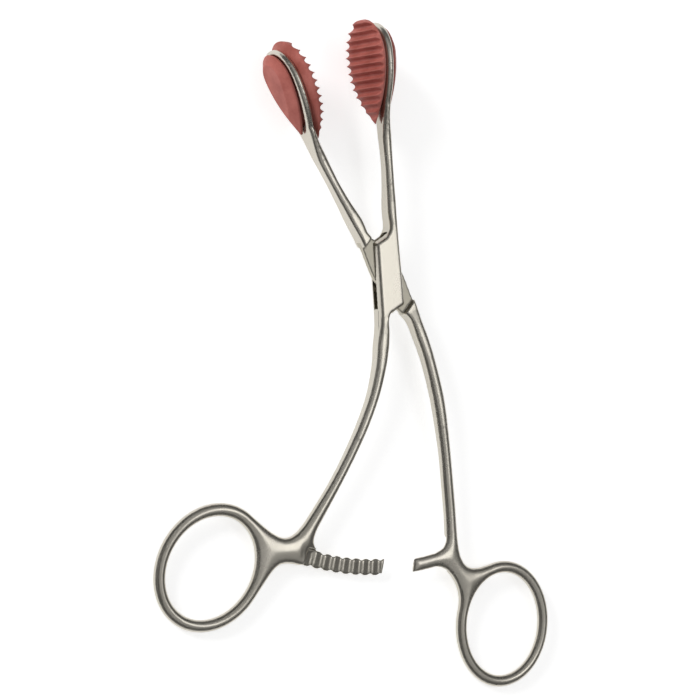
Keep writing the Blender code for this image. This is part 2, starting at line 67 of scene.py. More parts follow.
def placed(bm, name):
    """A bmesh in plan millimetres becomes an object in place on the table."""
    mesh = bpy.data.meshes.new(name)
    bm.to_mesh(mesh)
    bm.free()
    mesh.transform(PLAN)
    made = bpy.data.objects.new(name, mesh)
    bpy.context.scene.collection.objects.link(made)
    return made


# %% [markdown]
# ## The jaws' own axes
# Each jaw is drawn on axes of its own: x down the jaw from its top, y inwards to the other
# jaw, z across. The two jaws could be drawn apart in the plan, with slanted numbers. On axes
# of their own they share one leaf outline, as the maker bends the wire round the same
# template that shapes the mould of the rubber.

# %% Jaw axes
# Each jaw has the place of its top, its lean in degrees, and 1 or -1 for its hand
JAWS = {"right": (Vector((14.8, 61.15, 0)), 10.6, 1),
        "left": (Vector((-15.3, 61.55, 0)), 9.2, -1)}


def jaw_axes(side):
    """The matrix from a jaw's own axes to the plan."""
    top, lean, hand = JAWS[side]
    slant = math.radians(lean)
    down = Vector((-hand * math.sin(slant), -math.cos(slant), 0))
    inward = Vector((-hand * math.cos(slant), hand * math.sin(slant), 0))
    across = Vector((0, 0, 1))
    return Matrix.Translation(top) @ Matrix((down, inward, across)).transposed().to_4x4()


# %% Leaf outlines
WIDEST = 9.0
LEAF_STEPS = 26


def leaf(top, half_width, bottom):
    """A leaf outline: an elliptic top, then a parabola on each side that meets in a point."""
    half = []
    for i in range(LEAF_STEPS):
        turn = math.pi / 2 * i / LEAF_STEPS
        half.append((WIDEST - (WIDEST - top) * math.cos(turn), half_width * math.sin(turn)))
    for i in range(LEAF_STEPS + 1):
        run = math.sin(math.pi / 2 * i / LEAF_STEPS)
        half.append((WIDEST + (bottom - WIDEST) * run, half_width * (1 - run * run)))
    return half + [(x, -z) for x, z in reversed(half[1:-1])]


# %% [markdown]
# ## Forged steel
# A forged and tumbled arm has no facets and no hard edges, except where the lock, its steps
# and the ratchet are cut. The CAD solid has the right outline with flat facets. A Bevel
# modifier could round its edges, but the solid's cuts leave long thin triangles, on which a
# bevel folds over. So a voxel remesh gives the arm an even skin, and smoothing that skin
# rounds the shanks and the rings. Smoothing also thins a bar, so the skin is then pushed out
# again by what it lost.

# %% Even skin from a solid
SKIN_GRAIN = 0.24
SAME_POINT = 0.002


def even_skin(bm, grain):
    """The joined volume of closed shells, as one skin of small even faces."""
    scratch = bpy.data.objects.new("scratch", bpy.data.meshes.new("scratch"))
    bpy.context.scene.collection.objects.link(scratch)
    bm.to_mesh(scratch.data)
    bm.free()
    remesh = scratch.modifiers.new("even skin", "REMESH")
    remesh.mode = "VOXEL"
    remesh.voxel_size = grain
    graph = bpy.context.evaluated_depsgraph_get()
    skin = bmesh.new()
    skin.from_mesh(scratch.evaluated_get(graph).to_mesh())
    bpy.data.objects.remove(scratch, do_unlink=True)
    return skin


def node_in_plan(node):
    """A merged copy of a CAD node's mesh, in plan millimetres."""
    bm = bmesh.new()
    bm.from_mesh(frame["nodes"][node].data)
    bm.transform(PLAN.inverted())
    bmesh.ops.remove_doubles(bm, verts=bm.verts, dist=SAME_POINT)
    return bm


# %% [markdown]
# ## What is forged and what is cut
# The tumbling drum rounds the shanks and the rings fully, the necks less, and the ground lock
# and the milled teeth hardly at all. One could paint such weights by hand. Here each point's
# weight, its share, comes from its distance to the pivot and its angle about it, because the
# lock is centred on the pivot and the ratchet follows a circle round it.

# %% Shares of forging
LOCK_REACH = 11.5
LOCK_FADE = 26.0
NECK_SHARE = 0.3
NECK_SOFT_FROM = 30
NECK_SOFT_RUN = 8
RATCHET_BAND = (69.3, 74.6)
BAR_ANGLES = (-36.3, -16.0)
STUB_ANGLES = (-12.0, -5.5)
CUT_LEVEL = -0.7
CUT_FADE = 1.5


def swing(point):
    """Angle of a plan point about the pivot, from straight down, positive to the right."""
    return math.degrees(math.atan2(point.x, -point.y))


def forging(point, angles, cut_side):
    """How far a point is from what was cut: 0 on the lock and the teeth, 1 on the shanks."""
    reach = point.xy.length
    share = min(1.0, max(0.0, (reach - LOCK_REACH) / LOCK_FADE))
    if point.y > 0:
        share = min(share, max(NECK_SHARE, (point.y - NECK_SOFT_FROM) / NECK_SOFT_RUN))
    if RATCHET_BAND[0] < reach < RATCHET_BAND[1] and point.z * cut_side > CUT_LEVEL:
        outside = max(angles[0] - swing(point), swing(point) - angles[1])
        share = min(share, max(0.0, outside / CUT_FADE))
    return share


# %% Rounding by shares
def rounded(skin, shares, passes, give_back):
    """Smooths each point as often as its share asks for, then gives back the lost width."""
    for step in range(passes):
        chosen = [v for v, share in zip(skin.verts, shares) if share > step / passes]
        bmesh.ops.smooth_vert(skin, verts=chosen, factor=0.5, use_axis_x=True,
                              use_axis_y=True, use_axis_z=True)
    skin.normal_update()
    moves = [v.normal * give_back * share for v, share in zip(skin.verts, shares)]
    for vertex, move in zip(skin.verts, moves):
        vertex.co += move


# %% [markdown]
# ## The ratchet bar
# A round cutter mills the gashes of the bar, and it takes a bite out of the bar's long edges
# too, so that they look scalloped. Cutting them with a boolean would leave sharp slivers in
# the even skin. A wave that pulls the edges in at each gash keeps the skin whole. The last
# gash runs out softly into the corner between the bar and its shank.

# %% Edges of the ratchet bar
BAR_MIDDLE = 71.95
FIRST_GASH = 18.16
TOOTH_PITCH = 2.23
LAST_GASH = 7
PINCH = 0.2
BAR_ROOT = Vector((-40.6, -56.4))
ROOT_REACH = 3.0


def root_shares(skin):
    """1 in the corner between the bar and its shank, where the last gash runs out softly."""
    return [max(0.0, 1 - (v.co.xy - BAR_ROOT).length / ROOT_REACH) for v in skin.verts]


def bar_shares(skin, angles):
    """1 on the teeth of the bar, whose edges the tumbling takes off a little."""
    low, high = RATCHET_BAND
    return [float(low < v.co.xy.length < high and angles[0] < swing(v.co) < angles[1])
            for v in skin.verts]


def pinched_bar(skin):
    """Narrows the ratchet bar at each gash, where the round cutter also took its edges."""
    for vertex in skin.verts:
        reach = vertex.co.xy.length
        along = (-swing(vertex.co) - FIRST_GASH) / TOOTH_PITCH
        if RATCHET_BAND[0] < reach < RATCHET_BAND[1] and -0.5 < along < LAST_GASH + 0.5:
            gash = 0.5 + 0.5 * math.cos(2 * math.pi * along)
            if reach < BAR_MIDDLE:
                gash *= min(1.0, max(0.0, 2 * (LAST_GASH - along)))
            wanted = BAR_MIDDLE + (reach - BAR_MIDDLE) * (1 - PINCH * gash * gash)
            vertex.co.xy *= wanted / reach


# %% [markdown]
# ## Crowned sections
# Forging dies leave each bar a little thicker along its middle, and the webs at the rings
# become low ridges. Sculpting could give that by eye. Here each point is lowered by its
# distance to the nearest upright wall, which a k-d tree finds quickly, because that distance
# knows every outline, also where a shank runs into its ring.

# %% Thickness of the arms
# Rows of distance from the pivot and half the thickness there
HALF_HANDLE = ((11.0, 2.2), (15.5, 1.85), (32.0, 1.5), (55.0, 1.35), (75.0, 1.3))
HALF_NECK = ((11.0, 2.2), (17.5, 1.95), (22.0, 1.65), (27.0, 1.5), (32.0, 1.55), (35.5, 1.95),
             (38.5, 2.45), (41.0, 3.0))


def looked_up(table, reach):
    """A value from a table of rows, on straight lines between them and level beyond them."""
    reach = min(max(reach, table[0][0]), table[-1][0])
    for (near, first), (far, last) in zip(table, table[1:]):
        if reach <= far:
            return first + (last - first) * (reach - near) / (far - near)


def half_thickness(point):
    """Half the thickness of an arm at a plan point."""
    return looked_up(HALF_NECK if point.y > 0 else HALF_HANDLE, point.xy.length)


# %% Upright walls
UPRIGHT = 0.4
LOCK_SIDE_REACH = 10.5
LOCK_WALL = (1.2, 2.2)
BAR_WALL = (0.25, 1.0)


def wall_tree(skin, side):
    """The plan places of the upright walls on the front (1) or on the back (-1) of an arm."""
    walls = []
    for vertex in skin.verts:
        height = vertex.co.z * side
        low, high = LOCK_WALL if vertex.co.xy.length < LOCK_SIDE_REACH else BAR_WALL
        if abs(vertex.normal.z) < UPRIGHT and low < height < high:
            walls.append(vertex.co.xy.to_3d())
    tree = kdtree.KDTree(len(walls))
    for number, wall in enumerate(walls):
        tree.insert(wall, number)
    tree.balance()
    return tree


# %% Crests
EDGE_FALL = 0.2
EDGE_WIDTH = 0.85
NECK_EDGE = 0.4
FULL_FROM = 4
LOCK_EDGE_FALL = 0.98
LOCK_EDGE_END = 17.5
LOCK_EDGE_FADE = 5
LOCK_RIGHT = Vector((math.cos(math.radians(12.5)), -math.sin(math.radians(12.5)), 0))
PLATE_LEVEL = 1.15
CROWN_FALL = {"handle": 0.22, "neck": 0.08}
CROWN_START = 16.0
CROWN_FULL = 54.0
CROWN_MOST = 2.6
CROWN_WIDTH = 4.0
CROWN_RISE = 0.18
NECK_TIP = 39.5


def crowned(skin, shares, lock_edges):
    """Lowers both faces towards the edges of the plan, so that each bar gets a crest.

    Part of the fall is a round edge, and part a broad slope that makes the webs into ridges
    and grows with the distance from the lock. On the lock only one outer edge is rounded.
    """
    skin.normal_update()
    trees = {side: wall_tree(skin, side) for side in (1, -1)}
    for vertex, share in zip(skin.verts, shares):
        if vertex.co.y > NECK_TIP:
            continue
        inset = trees[1 if vertex.co.z > 0 else -1].find(vertex.co.xy.to_3d())[2]
        edge = min(1.0, FULL_FROM * share) * EDGE_FALL * (1 if vertex.co.y < 0 else NECK_EDGE)
        lock = min(1.0, max(0.0, (LOCK_EDGE_END - vertex.co.xy.length) / LOCK_EDGE_FADE))
        if lock_edges and abs(vertex.co.z) > PLATE_LEVEL and vertex.co.dot(LOCK_RIGHT) < 0:
            edge += (LOCK_EDGE_FALL - edge) * lock
        fall = edge * max(0.0, 1 - inset / EDGE_WIDTH) ** 2
        crown = CROWN_FALL["neck" if vertex.co.y > 0 else "handle"]
        far = (vertex.co.xy.length - CROWN_START) / (CROWN_FULL - CROWN_START)
        crown *= min(CROWN_MOST, max(0.0, far))
        fall += share * crown * max(0.0, 1 - inset / CROWN_WIDTH) ** 2
        rise = 1 + CROWN_RISE * share * (vertex.co.z > 0)
        vertex.co.z *= rise * (1 - fall / half_thickness(vertex.co))


# %% [markdown]
# ## Fuller bars
# A forging bulges a little past the flat bar that it was drawn as, and smoothing took some
# width off. Scaling the arm would move its rings and its jaws. So the points only move
# outwards in the plan, by a table of how much each stretch of the arm is fuller.

# %% Growth in the plan
# Rows of distance from the pivot and growth on each side there
NECK_GROWTH = ((11.0, 0.0), (18.0, 0.1), (26.0, 0.1), (33.5, 0.3), (37.0, 0.12), (41.0, 0.0))
HANDLE_GROWTH = ((12.0, 0.0), (18.0, 0.3), (36.0, 0.36), (62.0, 0.36), (72.0, 0.2), (82.0, 0.1),
                 (120.0, 0.06))


def fuller(skin, angles, cut_side):
    """Widens the necks and shanks in the plan, where a forging is fuller than a flat bar."""
    skin.normal_update()
    moves = []
    for vertex in skin.verts:
        table = NECK_GROWTH if vertex.co.y > 0 else HANDLE_GROWTH
        growth = looked_up(table, vertex.co.xy.length)
        growth *= min(1.0, FULL_FROM * forging(vertex.co, angles, cut_side))
        moves.append(Vector((vertex.normal.x, vertex.normal.y, 0)) * growth)
    for vertex, move in zip(skin.verts, moves):
        vertex.co += move


# %% [markdown]
# ## Wire loops
# The jaw of each arm is an oval loop of round wire, joined to the neck by a small web in its
# lower corner. The wire could be a torus pulled into shape, but its section would be pulled
# too. A curve with a round bevel along the leaf outline keeps its section all the way. The
# remesh then welds wire, web and neck into one skin.

# %% Wire loop of a jaw
WIRE_RADIUS = 1.03
WIRE_PATH = (2.6, 5.4, 25.5)
WIRE_BULGE = 1.06
WEB = (4.6, 0.98, 2.2)
WEB_MIDDLE = 24.2
WELD_MIDDLE = 39.0
WELD_REACH = 5.5


def wire_loop(solid, side):
    """Adds the oval wire of one jaw and the web that fills its lower corner."""
    web = Matrix.Translation((WEB_MIDDLE, 0, 0)) @ Matrix.Diagonal((*WEB, 1))
    bmesh.ops.create_uvsphere(solid, u_segments=32, v_segments=16, radius=1,
                              matrix=jaw_axes(side) @ web)
    guide = bpy.data.curves.new("wire", "CURVE")
    guide.dimensions = "3D"
    guide.bevel_depth = WIRE_RADIUS
    guide.bevel_resolution = 6
    path = leaf(*WIRE_PATH)
    spline = guide.splines.new("POLY")
    spline.points.add(len(path) - 1)
    for point, (x, z) in zip(spline.points, path):
        point.co = (x, 0, z, 1)
    spline.use_cyclic_u = True
    scratch = bpy.data.objects.new("wire", guide)
    bpy.context.scene.collection.objects.link(scratch)
    graph = bpy.context.evaluated_depsgraph_get()
    tube = bpy.data.meshes.new_from_object(scratch.evaluated_get(graph))
    tube.transform(jaw_axes(side) @ Matrix.Scale(WIRE_BULGE, 4, (0, 1, 0)))
    solid.from_mesh(tube)
    bpy.data.objects.remove(scratch, do_unlink=True)
    bpy.data.meshes.remove(tube)


def weld_shares(skin):
    """1 where a neck runs into its loop, fading away on both sides of it."""
    return [max(0.0, 1 - abs(v.co.y - WELD_MIDDLE) / WELD_REACH) for v in skin.verts]


# %% [markdown]
# ## Both arms
# The arms go through the same shop: forged, crowned, welded to their loops and tumbled. Only
# the box arm has the long toothed bar, and round plates that close its pin bores flush, as a
# riveted and ground pin does. One function makes both arms, so that they match.

# %% Shop of the arms
# Each step has its passes, and how far it pushes the skin out again
FIRST_SOFTENING = (1, 0.0)
FORGED = (12, 0.05)
WELDED = (24, 0.0)
TUMBLED = (8, 0.05)
TUMBLED_LEAST, TUMBLED_MORE = 0.35, 0.65
SOFT_ROOT = (40, 0.0)
SOFT_TEETH = (4, 0.02)
PLUG_RADIUS = 1.7
TONGUE_LEVEL = 0.9
TONGUE_REACH = 11


def plugged(solid, plates):
    """Fills the pin bores between the given heights."""
    for low, high in plates:
        place = Matrix.Translation((0, 0, (low + high) / 2))
        bmesh.ops.create_cone(solid, cap_ends=True, segments=32, radius1=PLUG_RADIUS,
                              radius2=PLUG_RADIUS, depth=high - low, matrix=place)


def forged_arm(node, name, side, angles, plates=()):
    """One finished arm from its CAD node; only the box arm is given plates."""
    solid = node_in_plan(node)
    wire_loop(solid, side)
    plugged(solid, plates)
    skin = even_skin(solid, SKIN_GRAIN)
    cut_side = 1 if plates else -1
    shares = [forging(v.co, angles, cut_side) for v in skin.verts]
    rounded(skin, [1.0] * len(shares), *FIRST_SOFTENING)
    rounded(skin, shares, *FORGED)
    crowned(skin, shares, bool(plates))
    fuller(skin, angles, cut_side)
    rounded(skin, weld_shares(skin), *WELDED)
    rounded(skin, [TUMBLED_LEAST + TUMBLED_MORE * share for share in shares], *TUMBLED)
    if plates:
        rounded(skin, root_shares(skin), *SOFT_ROOT)
        rounded(skin, bar_shares(skin, angles), *SOFT_TEETH)
        pinched_bar(skin)
    for face in skin.faces:
        face.smooth = True
        middle = face.calc_center_median()
        on_tongue = abs(middle.z) < TONGUE_LEVEL and middle.xy.length < TONGUE_REACH
        # Tongue faces in the slot get the milled steel, whose darker tone is partly painted
        # shade of the slot.
        face.material_index = int(not plates and on_tongue)
    print(name, "has", len(skin.faces), "faces")
    return placed(skin, name)


PLATES = ((-2.2, -1.05), (1.05, 2.2))
box_arm = forged_arm("box_arm", "forged_box_arm", "right", BAR_ANGLES, PLATES)
through_arm = forged_arm("through_arm", "forged_through_arm", "left", STUB_ANGLES)

# %% [markdown]
# ## Pin
# The arms turn on a steel pin that is riveted and then ground flush with the lock, so its
# ends can't be told from the polished faces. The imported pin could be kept, but its ends would
# lie in the plane of those faces and flicker. A slightly shorter cylinder stays inside them.

# %% Riveted pin
PIN_RADIUS = 1.2
PIN_LENGTH = 3.6
pin_shape = bmesh.new()
bmesh.ops.create_cone(pin_shape, cap_ends=True, segments=48, radius1=PIN_RADIUS,
                      radius2=PIN_RADIUS, depth=PIN_LENGTH)
pin = placed(pin_shape, "riveted_pin")
print("The pin's ends are flush and polished over, so it only shows inside the slot")

# %% [markdown]
# ## Rubber inserts
# Each insert is moulded in one piece: a leaf-shaped pad with cross ridges, a neck that fills
# the wire loop, and a bevelled button on the outside that keeps it there. A stack of flat
# plates could stand in for it, but its sides would have steps. Leaf outlines at rising
# heights, bridged into one body, give the slanted sides of the mould.

# %% Stacked outlines
def stack(bm, levels):
    """Leaf outlines at rising heights, bridged into a closed body."""
    loops = []
    for height, outline in levels:
        verts = [bm.verts.new((x, height, z)) for x, z in outline]
        edges = [bm.edges.new((a, b)) for a, b in zip(verts, verts[1:] + verts[:1])]
        loops.append(edges)
    for lower, upper in zip(loops, loops[1:]):
        bmesh.ops.bridge_loops(bm, edges=lower + upper)
    bmesh.ops.holes_fill(bm, edges=loops[0] + loops[-1], sides=0)
    bmesh.ops.recalc_face_normals(bm, faces=bm.faces)


def joined(bm, other):
    """Adds a second bmesh to the first."""
    carrier = bpy.data.meshes.new("carrier")
    other.to_mesh(carrier)
    other.free()
    bm.from_mesh(carrier)
    bpy.data.meshes.remove(carrier)


def scratch_object(bm, name):
    """An object for a modifier to work on or with, which is removed after use."""
    made = bpy.data.objects.new(name, bpy.data.meshes.new(name))
    bpy.context.scene.collection.objects.link(made)
    bm.to_mesh(made.data)
    bm.free()
    return made


# %% [markdown]
# ## Ridges of the pad
# Cross ridges with hollow flanks grip a wet tongue without cutting it. They could be single
# ribs on a flat pad, but their hollow flanks meet in round valleys, which are easier to cut
# than to build. So the mould maker's cutter is drawn, with the section of one valley, and a
# boolean cuts the block with a row of them. The pad runs out to a thin point at its lower end.

# %% Cutters for the grooves
RIDGE_PITCH = 1.97
FIRST_GROOVE = 1.9
GROOVE_COUNT = 12
GROOVE_FLOOR = 2.88
GROOVE_REACH = 10
# Half a section: the distance from the valley's middle line and the height over its floor
GROOVE_HALF = ((0.0, 0.0), (0.26, 0.08), (0.50, 0.36), (0.72, 0.76), (0.88, 1.14), (1.03, 1.7))


def groove_cutters():
    """Long bars with the section of the grooves, one for each gap between two crests."""
    bm = bmesh.new()
    section = [(-x, y) for x, y in reversed(GROOVE_HALF[1:])] + list(GROOVE_HALF)
    for number in range(GROOVE_COUNT):
        middle = FIRST_GROOVE + number * RIDGE_PITCH
        verts = [bm.verts.new((middle + x, GROOVE_FLOOR + y, -GROOVE_REACH)) for x, y in section]
        face = bm.faces.new(verts)
        grown = bmesh.ops.extrude_face_region(bm, geom=[face])
        far = [v for v in grown["geom"] if isinstance(v, bmesh.types.BMVert)]
        bmesh.ops.translate(bm, verts=far, vec=(0, 0, 2 * GROOVE_REACH))
    bmesh.ops.recalc_face_normals(bm, faces=bm.faces)
    return scratch_object(bm, "grooves")


# %% Ridged block of the pad
CREST = 4.2
RIM = 3.0
BLOCK_ROOT = RIM - 0.5
PAD = (0.0, 7.9, 25.6)
CREST_LEAF = (0.2, 7.6, 24.9)
TAPER_START = 17.0
TAPER_LEVEL = 1.9
TAPER_LOSS = 0.8
TAPER_CURVE = 1.6


def tapered(bm):
    """Lets the pad run out to a thin point at its lower end."""
    for vertex in bm.verts:
        run = max(0.0, (vertex.co.x - TAPER_START) / (PAD[2] - TAPER_START))
        if vertex.co.y > TAPER_LEVEL:
            kept = 1 - TAPER_LOSS * run ** TAPER_CURVE
            vertex.co.y = TAPER_LEVEL + (vertex.co.y - TAPER_LEVEL) * kept


def ridged_block():
    """The ridged part of the pad, a leaf inside the rim with its grooves cut across."""
    bm = bmesh.new()
    stack(bm, [(BLOCK_ROOT, leaf(*PAD)), (RIM, leaf(*PAD)), (CREST, leaf(*CREST_LEAF))])
    block = scratch_object(bm, "block")
    cutter = groove_cutters()
    cut = block.modifiers.new("grooves", "BOOLEAN")
    cut.operation = "DIFFERENCE"
    cut.solver = "EXACT"
    cut.object = cutter
    graph = bpy.context.evaluated_depsgraph_get()
    made = bmesh.new()
    made.from_mesh(block.evaluated_get(graph).to_mesh())
    tapered(made)
    print("ridged block:", len(made.faces), "faces, volume", round(made.calc_volume(), 1))
    bpy.data.objects.remove(block, do_unlink=True)
    bpy.data.objects.remove(cutter, do_unlink=True)
    return made


# %% [markdown]
# ## Whole insert
# Pad, neck and button leave the mould as one piece of rubber with soft edges. A boolean could
# join them, but it would keep every edge sharp. The same voxel remesh as on the steel joins
# the overlapping bodies, and one smoothing pass gives them their soft edges. Each pad sits a
# little up or down its jaw, and the right one is a hair prouder, as hand-fitted inserts are.

# %% Inserts of both jaws
RUBBER_GRAIN = 0.13
PAD_SHIFT = {"right": 0.7, "left": -0.4}
PAD_LIFT = {"right": 0.15, "left": 0.0}
SEAT = 1.2
BODY_RIM = RIM - 0.45
PAD_EDGE = 0.45
PAD_BACK = (2.6, 5.8, 22.4)
PAD_SHOULDER = (0.9, 7.5, 25.1)
NECK = (WIRE_PATH[0] + SEAT, WIRE_PATH[1] - SEAT, 21.6)
NECK_ROOT = 0.6
BUTTON_TOP = -3.5
BUTTON_SIDE = 0.7
BUTTON_FACE = (5.2, 3.3, 19.6)
BUTTON_RIM = (2.7, 5.3, 23.5)
BUTTON_BACK = (2.9, 5.1, 23.3)
HAIR = 0.02


def insert(side, name):
    """The rubber insert of one jaw, from its button outside to its ridges inside."""
    bm = ridged_block()
    back = bmesh.new()
    stack(back, [(SEAT, leaf(*PAD_BACK)), (BODY_RIM - PAD_EDGE, leaf(*PAD_SHOULDER)),
                 (BODY_RIM, leaf(*PAD))])
    tapered(back)
    joined(bm, back)
    bmesh.ops.translate(bm, verts=bm.verts, vec=(PAD_SHIFT[side], PAD_LIFT[side], 0))
    stack(bm, [(BUTTON_TOP, leaf(*BUTTON_FACE)), (-SEAT - BUTTON_SIDE, leaf(*BUTTON_RIM)),
               (-SEAT, leaf(*BUTTON_BACK)), (-SEAT + HAIR, leaf(*NECK)),
               (SEAT + NECK_ROOT, leaf(*NECK))])
    skin = even_skin(bm, RUBBER_GRAIN)
    rounded(skin, [1.0] * len(skin.verts), *FIRST_SOFTENING)
    for face in skin.faces:
        face.smooth = True
    skin.transform(jaw_axes(side))
    bmesh.ops.recalc_face_normals(skin, faces=skin.faces)
    print(name, "has", len(skin.faces), "faces")
    return placed(skin, name)


right_rubber = insert("right", "right_rubber_insert")
left_rubber = insert("left", "left_rubber_insert")


# %% [markdown]
# ## Shader maths
# Materials are node trees. Their nodes could be added and linked one by one, which takes
# three lines for each sum. Wrapping a socket in a small class lets the maths be written as
# plain expressions, and one method makes every other kind of node.

# %% Socket class
class Signal:
    """A node's output that takes part in Python maths."""

    def __init__(self, tree, socket):
        self.tree = tree
        self.socket = socket

    def math(self, operation, *others):
        node = self.tree.nodes.new("ShaderNodeMath")
        node.operation = operation
        for slot, value in zip(node.inputs, (self, *others)):
            feed(self.tree, slot, value)
        return Signal(self.tree, node.outputs[0])

    def __add__(self, other):
        return self.math("ADD", other)

    def __mul__(self, other):
        return self.math("MULTIPLY", other)

    __radd__ = __add__
    __rmul__ = __mul__


def feed(tree, slot, value):
    """Links a signal to a socket, or sets a plain value on it."""
    if isinstance(value, Signal):
        tree.links.new(value.socket, slot)
    else:
        slot.default_value = value


# %% Node trees and finishes
class Nodes:
    """A node tree, and one way to add a node of any kind to it."""

    def __init__(self, tree):
        self.tree = tree

    def node(self, kind, settings=None, stops=None, output=0, **values):
        made = self.tree.nodes.new("ShaderNode" + kind)
        for key, value in (settings or {}).items():
            setattr(made, key, value)
        if stops:
            ramp = made.color_ramp
            while len(ramp.elements) < len(stops):
                ramp.elements.new(0.5)
            for element, (place, colour) in zip(ramp.elements, stops):
                element.position = place
                element.color = colour
        for key, value in values.items():
            feed(self.tree, made.inputs[key.replace("_", " ")], value)
        return Signal(self.tree, made.outputs[output])


class Finish(Nodes):
    """A material under construction: its tree and its shader."""

    def __init__(self, name):
        self.material = bpy.data.materials.new(name)
        self.material.use_nodes = True
        super().__init__(self.material.node_tree)
        self.shader = self.tree.nodes["Principled BSDF"]

    def set(self, **values):
        for key, value in values.items():
            feed(self.tree, self.shader.inputs[key.replace("_", " ")], value)
        return self


# %% [markdown]
# ## Satin steel
# Surgical steel is polished and then brushed or glass-beaded to a satin, so that it does not
# dazzle. It still reflects the studio as broad soft bands. One roughness all over would look
# like plastic film. A fine grain in the bump gives the satin, and slow changes in roughness
# and tone give the slightly uneven hand finish. The milled tongue in the slot is duller, and
# its darker tone is partly the milled finish and partly painted shade of the slot.

# %% Satin steel
GRAIN_SCALE = 2600.0
CLOUD_SCALE = 60.0
CLOUD_SHADE = (0.9, 0.9, 0.88)
CLOUD_ROUGHNESS = 0.1
GRAIN_ROUGHNESS = 0.02
MEAN_ROUGHNESS = 0.06
OBJECT_PLACE = 3


def satin_steel(name, tone, roughness):
    """Steel of one tone and mean roughness, with fine grain and soft clouds."""
    finish = Finish(name)
    place = finish.node("TexCoord", output=OBJECT_PLACE)
    grain = finish.node("TexNoise", Vector=place, Scale=GRAIN_SCALE, Detail=2.0)
    clouds = finish.node("TexNoise", Vector=place, Scale=CLOUD_SCALE, Detail=3.0)
    dark = (*(part * shade for part, shade in zip(tone, CLOUD_SHADE)), 1.0)
    colour = finish.node("ValToRGB", stops=[(0.3, dark), (0.7, (*tone, 1.0))], Fac=clouds)
    bump = finish.node("Bump", Height=grain, Strength=0.005, Distance=0.00003)
    dull = clouds * CLOUD_ROUGHNESS + (roughness - MEAN_ROUGHNESS) + grain * GRAIN_ROUGHNESS
    finish.set(Base_Color=colour, Roughness=dull, Metallic=1.0, Normal=bump)
    print(name, "is ready")
    return finish.material


STEEL_TONE = (0.64, 0.605, 0.535)
# The milled tone is darker partly for the milled finish and partly as painted shade of the slot
# in the lock, where the tongue and the pin sit.
MILLED_TONE_WITH_SLOT_SHADE = (0.51, 0.48, 0.405)
box_steel = satin_steel("satin_box_steel", STEEL_TONE, 0.27)
through_steel = satin_steel("satin_through_steel", STEEL_TONE, 0.27)
milled_steel_with_slot_shade = satin_steel("milled_steel_with_slot_shade", MILLED_TONE_WITH_SLOT_SHADE, 0.38)

# %% [markdown]
# ## Brick-red rubber
# The inserts are moulded from natural rubber filled with a red pigment. The skin is dull and
# slightly dusty, with a fine mould grain and patches that are a little paler. A picture of
# rubber could be wrapped round each insert, but it would stretch on the ridges. Noise in the
# object's own space has the same scale on every side.

# %% Brick rubber
RUBBER_DARK = (0.34, 0.078, 0.058, 1.0)
RUBBER_PALE = (0.56, 0.18, 0.15, 1.0)
MOULD_SCALE = 1800.0
PATCH_SCALE = 220.0
PATCH_PART = 0.8
MOULD_PART = 0.2


def brick_rubber(name):
    """Dull red rubber with a mould grain and paler patches."""
    finish = Finish(name)
    place = finish.node("TexCoord", output=OBJECT_PLACE)
    grain = finish.node("TexNoise", Vector=place, Scale=MOULD_SCALE, Detail=4.0)
    patches = finish.node("TexNoise", Vector=place, Scale=PATCH_SCALE, Detail=3.0)
    mixed = patches * PATCH_PART + grain * MOULD_PART
    colour = finish.node("ValToRGB", stops=[(0.3, RUBBER_DARK), (0.75, RUBBER_PALE)], Fac=mixed)
    bump = finish.node("Bump", Height=grain, Strength=0.25, Distance=0.0001)
    finish.set(Base_Color=colour, Roughness=patches * 0.15 + 0.5, Normal=bump)
    print(name, "is ready")
    return finish.material


red_rubber = brick_rubber("brick_red_rubber")

# %% [markdown]
# ## Pieces on their bodies
# Each arm carries its own insert, and the pin stays in the box. Parenting by hand would lose
# the joint.

# %% Dress the pieces
DRESS = ((box_arm, box_steel, "box_half", "satin_steel", "box_arm"),
         (through_arm, through_steel, "through_half", "satin_steel_through", "through_arm"),
         (right_rubber, red_rubber, "box_half", "brick_rubber_right", "right_insert"),
         (left_rubber, red_rubber, "through_half", "brick_rubber_left", "left_insert"),
         (pin, milled_steel_with_slot_shade, "box_half", "pin_steel", "pivot_pin"))
for piece, surface, body, slot, node in DRESS:
    piece.data.materials.append(surface)
    if piece in (box_arm, through_arm):
        # The tongue's milled steel is duller, and its darker tone is partly painted shade of the
        # slot.
        piece.data.materials.append(milled_steel_with_slot_shade)
    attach(piece, body)
    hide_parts(node)
    print(piece.name, "rides on", body)

# %% [markdown]
# ## Studio
# A catalogue shows such a tool on plain white. More light would bleach the floor, but the
# steel with it. So the paper glows a little, only for the rays that make the picture and its
# reflections, and it still takes a soft shadow. Soft lamps light the tool from above, and
# dark cards beside it give the polished steel its dark bands.

# %% Floor
PICTURE_RAYS = ("Is Camera Ray", "Is Glossy Ray", "Is Transmission Ray")
FLOOR_HALF = 3.0
FLOOR_LEVEL = -0.0002
PAPER_GLOW = 0.5
PAPER_REST = 0.03

floor_mesh = bmesh.new()
bmesh.ops.create_grid(floor_mesh, x_segments=1, y_segments=1, size=FLOOR_HALF)
floor_data = bpy.data.meshes.new("floor")
floor_mesh.to_mesh(floor_data)
floor_mesh.free()
floor = bpy.data.objects.new("floor", floor_data)
bpy.context.scene.collection.objects.link(floor)
floor.location.z = FLOOR_LEVEL
paper = Finish("white_paper")
seen = sum(paper.node("LightPath", output=kind) for kind in PICTURE_RAYS)
paper.set(Base_Color=(0.9, 0.9, 0.9, 1.0), Roughness=0.9, Emission_Color=(1.0, 1.0, 1.0, 1.0))
paper.set(Emission_Strength=seen * PAPER_GLOW + PAPER_REST)
floor_data.materials.append(paper.material)
print("floor at", FLOOR_LEVEL, "m")

